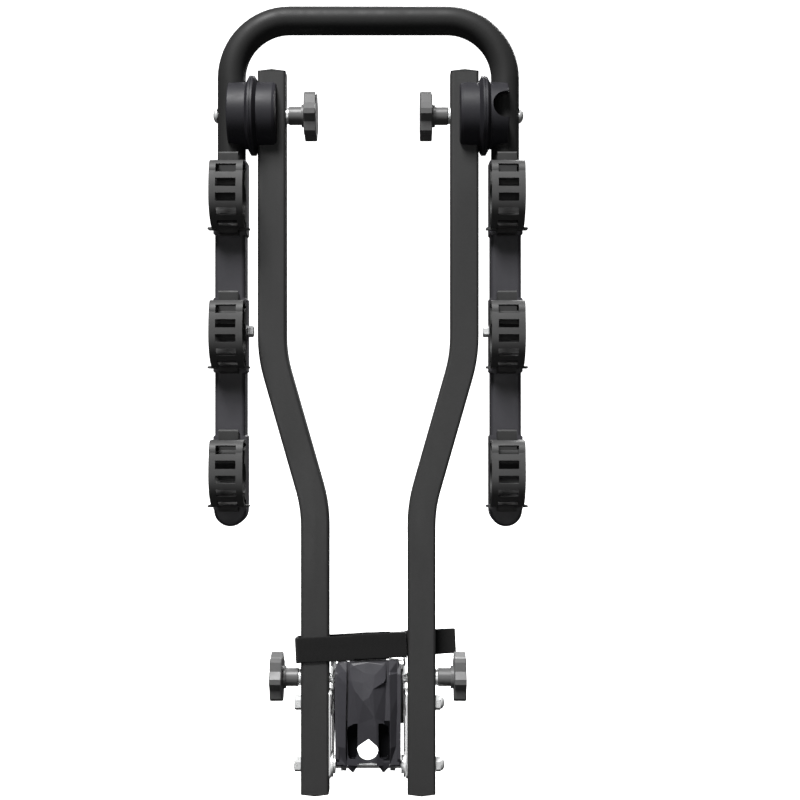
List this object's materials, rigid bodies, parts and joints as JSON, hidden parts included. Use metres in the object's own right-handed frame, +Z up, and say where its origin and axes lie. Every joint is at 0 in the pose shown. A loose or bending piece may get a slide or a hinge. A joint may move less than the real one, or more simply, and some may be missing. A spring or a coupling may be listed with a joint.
{
  "type": "hitch mounted bike rack",
  "caption": "Folding bike rack that clamps on a tow ball: two bent masts, a U-shaped carrier with strapped cradles, star knobs and a clamp lever at the foot.",
  "frame": {"origin": "the centre of the tow ball that the jaws close on", "axes": "+Z up along the masts, +Y towards the car, +X to the right of someone behind the rack"},
  "size_m": [0.3138, 0.1205, 0.7864],
  "materials": {
    "mast_paint": "satin black powder coat",
    "tube_paint": "satin black powder coat",
    "hub_plastic": "satin moulded black",
    "rail_plastic": "satin moulded black",
    "plug_plastic": "satin moulded black",
    "knob_plastic": "satin moulded grey",
    "saddle_rubber": "matt black rubber",
    "strap_rubber": "matt dark grey rubber",
    "zinc_plate": "bright zinc plate",
    "zinc_hardware": "bright zinc plate",
    "spring_steel": "ground steel",
    "cast_jaw": "black e-coat over casting",
    "lever_plastic": "satin glass-filled nylon",
    "friction_fibre": "pressed fibre",
    "webbing": "woven polyester",
    "buckle_steel": "pressed zinc-plated steel"
  },
  "bodies": {
    "base": {"base_cheek_left": "zinc_plate", "base_cheek_right": "zinc_plate", "rear_bridge": "zinc_plate", "fixed_jaw": "cast_jaw", "cheek_screws": "zinc_hardware", "bridge_screws": "zinc_hardware", "jaw_guide_pins": "spring_steel", "pin_clips": "spring_steel", "jaw_springs": "spring_steel", "pivot_rod": "zinc_hardware", "pivot_nuts": "zinc_hardware", "pivot_spacers": "zinc_hardware"},
    "jaw": {"moving_jaw": "cast_jaw"},
    "lever": {"clamp_lever": "lever_plastic", "lever_cams": "spring_steel"},
    "mast_frame": {"mast_left": "mast_paint", "mast_right": "mast_paint", "mast_plugs_top": "plug_plastic", "mast_plugs_bottom": "plug_plastic", "tilt_plate_left": "zinc_plate", "tilt_plate_right": "zinc_plate", "plate_bolts": "zinc_hardware", "plate_nuts": "zinc_hardware", "hub_inner_left": "hub_plastic", "hub_inner_right": "hub_plastic", "friction_discs": "friction_fibre", "web_strap": "webbing", "strap_buckle": "buckle_steel", "knob_stud_left": "zinc_hardware", "knob_stud_right": "zinc_hardware", "knob_washers_upper": "zinc_hardware", "knob_washers_lower": "zinc_hardware"},
    "carrier": {"carrier_tube": "tube_paint", "hub_outer_left": "hub_plastic", "hub_outer_right": "hub_plastic", "hinge_bolt_left": "zinc_hardware", "hinge_bolt_right": "zinc_hardware", "arm_rail_left": "rail_plastic", "arm_rail_right": "rail_plastic", "rail_bolts": "zinc_hardware", "rail_nuts": "zinc_hardware", "saddle_left_1": "saddle_rubber", "saddle_left_2": "saddle_rubber", "saddle_left_3": "saddle_rubber", "saddle_right_1": "saddle_rubber", "saddle_right_2": "saddle_rubber", "saddle_right_3": "saddle_rubber"},
    "knob_upper_left": {"knob_upper_left": "knob_plastic"},
    "knob_upper_right": {"knob_upper_right": "knob_plastic"},
    "knob_lower_left": {"knob_lower_left": "knob_plastic"},
    "knob_lower_right": {"knob_lower_right": "knob_plastic"},
    "strap_left_1": {"ladder_strap_left_1": "strap_rubber"},
    "strap_left_2": {"ladder_strap_left_2": "strap_rubber"},
    "strap_left_3": {"ladder_strap_left_3": "strap_rubber"},
    "strap_right_1": {"ladder_strap_right_1": "strap_rubber"},
    "strap_right_2": {"ladder_strap_right_2": "strap_rubber"},
    "strap_right_3": {"ladder_strap_right_3": "strap_rubber"}
  },
  "joints": [
    {"name": "mast_tilt", "type": "hinge", "parent": "base", "child": "mast_frame", "pos_m": [0, -0.03, -0.049], "axis": [1, 0, 0], "range_deg": [0, 45]},
    {"name": "arm_fold", "type": "hinge", "parent": "mast_frame", "child": "carrier", "pos_m": [0, -0.03, 0.599], "axis": [1, 0, 0], "range_deg": [-100, 0]},
    {"name": "lever_swing", "type": "hinge", "parent": "base", "child": "lever", "pos_m": [0, -0.03, -0.049], "axis": [1, 0, 0], "range_deg": [0, 80]},
    {"name": "jaw_slide", "type": "slide", "parent": "base", "child": "jaw", "axis": [0, 1, 0], "range_m": [-0.0066, 0]},
    {"name": "knob_upper_left_turn", "type": "hinge", "parent": "mast_frame", "child": "knob_upper_left", "pos_m": [0, -0.03, 0.599], "axis": [1, 0, 0], "continuous": true},
    {"name": "knob_upper_right_turn", "type": "hinge", "parent": "mast_frame", "child": "knob_upper_right", "pos_m": [0, -0.03, 0.599], "axis": [1, 0, 0], "continuous": true},
    {"name": "knob_lower_left_turn", "type": "hinge", "parent": "mast_frame", "child": "knob_lower_left", "pos_m": [0, -0.03, 0.038], "axis": [1, 0, 0], "continuous": true},
    {"name": "knob_lower_right_turn", "type": "hinge", "parent": "mast_frame", "child": "knob_lower_right", "pos_m": [0, -0.03, 0.038], "axis": [1, 0, 0], "continuous": true},
    {"name": "strap_left_1_open", "type": "hinge", "parent": "carrier", "child": "strap_left_1", "pos_m": [0, -0.052, 0.5453], "axis": [1, 0, 0], "range_deg": [-90, 0]},
    {"name": "strap_left_2_open", "type": "hinge", "parent": "carrier", "child": "strap_left_2", "pos_m": [0, -0.052, 0.4093], "axis": [1, 0, 0], "range_deg": [-90, 0]},
    {"name": "strap_left_3_open", "type": "hinge", "parent": "carrier", "child": "strap_left_3", "pos_m": [0, -0.052, 0.2733], "axis": [1, 0, 0], "range_deg": [-90, 0]},
    {"name": "strap_right_1_open", "type": "hinge", "parent": "carrier", "child": "strap_right_1", "pos_m": [0, -0.052, 0.5453], "axis": [1, 0, 0], "range_deg": [-90, 0]},
    {"name": "strap_right_2_open", "type": "hinge", "parent": "carrier", "child": "strap_right_2", "pos_m": [0, -0.052, 0.4093], "axis": [1, 0, 0], "range_deg": [-90, 0]},
    {"name": "strap_right_3_open", "type": "hinge", "parent": "carrier", "child": "strap_right_3", "pos_m": [0, -0.052, 0.2733], "axis": [1, 0, 0], "range_deg": [-90, 0]}
  ],
  "couplings": [
    {"joint": "jaw_slide", "follows": "lever_swing", "m_per_rad": -0.0046553}
  ]
}
